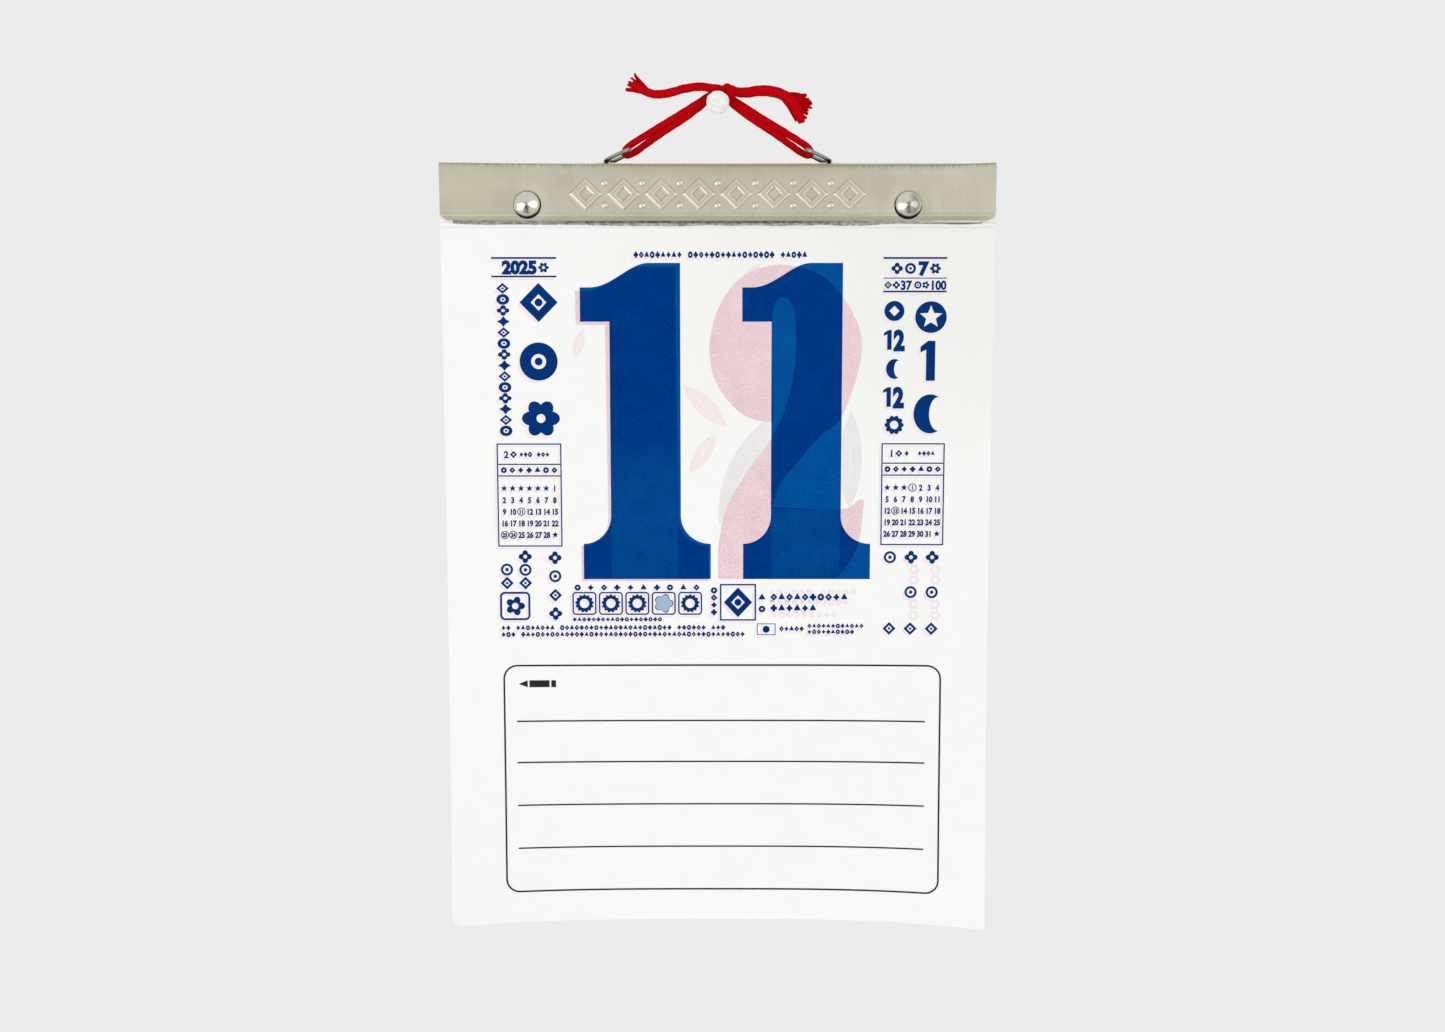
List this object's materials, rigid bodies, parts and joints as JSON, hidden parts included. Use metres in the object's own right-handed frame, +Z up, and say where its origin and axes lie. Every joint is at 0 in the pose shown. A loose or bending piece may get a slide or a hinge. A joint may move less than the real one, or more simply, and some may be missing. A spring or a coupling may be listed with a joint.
{
  "type": "tear off day calendar",
  "caption": "Wall calendar with a thick block of day leaves in a riveted tinplate strip, hung by a red cord through wire rings from a pin; the front leaf lifts and tears off",
  "frame": {"origin": "where the axis of the pin meets the wall", "axes": "+X to the right as the calendar is read, +Y into the wall, +Z up; the printed side faces -Y"},
  "size_m": [0.182, 0.0384, 0.2857],
  "materials": {
    "paper": "uncoated",
    "grey_board": "uncoated",
    "tinplate": "satin",
    "nickel": "polished",
    "steel": "satin",
    "red_cord": "matte",
    "white_plastic": "matte"
  },
  "bodies": {
    "pin": {"pin_head": "white_plastic", "pin_shank": "steel"},
    "calendar": {"cord_loop": "red_cord", "cord_knot": "red_cord", "cord_tail_left": "red_cord", "cord_tail_right": "red_cord", "ring_keeper_left": "tinplate", "ring_keeper_right": "tinplate", "header_strip": "tinplate", "rivet_left": "nickel", "rivet_right": "nickel", "rivet_washer_left": "steel", "rivet_washer_right": "steel", "binding_staples": "steel", "held_stubs": "paper", "next_leaf": "paper", "january_leaves": "paper", "february_leaves": "paper", "march_leaves": "paper", "april_leaves": "paper", "may_leaves": "paper", "june_leaves": "paper", "july_leaves": "paper", "august_leaves": "paper", "september_leaves": "paper", "october_leaves": "paper", "november_leaves": "paper", "december_leaves": "paper", "backing_board": "grey_board"},
    "left_ring": {"ring_left": "steel"},
    "right_ring": {"ring_right": "steel"},
    "leaf_margin": {"today_margin": "paper", "torn_fringe": "paper"},
    "day_leaf": {"today_leaf": "paper"}
  },
  "joints": [
    {"name": "hang_swing", "type": "hinge", "parent": "pin", "child": "calendar", "pos_m": [0, 0, 0], "axis": [0, 1, 0], "range_deg": [-30, 30]},
    {"name": "ring_left_swivel", "type": "hinge", "parent": "calendar", "child": "left_ring", "pos_m": [-0.0368, -0.0095, -0.01925], "axis": [0, -1, 0], "range_deg": [-24, 30], "deforming": ["cord_loop"]},
    {"name": "ring_right_swivel", "type": "hinge", "parent": "calendar", "child": "right_ring", "pos_m": [0.0368, -0.0095, -0.01925], "axis": [0, 1, 0], "range_deg": [-24, 30], "deforming": ["cord_loop"]},
    {"name": "leaf_lift", "type": "hinge", "parent": "calendar", "child": "leaf_margin", "pos_m": [0, -0.01887, -0.0394], "axis": [-1, 0, 0], "range_deg": [0, 120]},
    {"name": "tear_off", "type": "slide", "parent": "leaf_margin", "child": "day_leaf", "axis": [0, -0.2588, -0.9659], "range_m": [0, 0.25]}
  ]
}
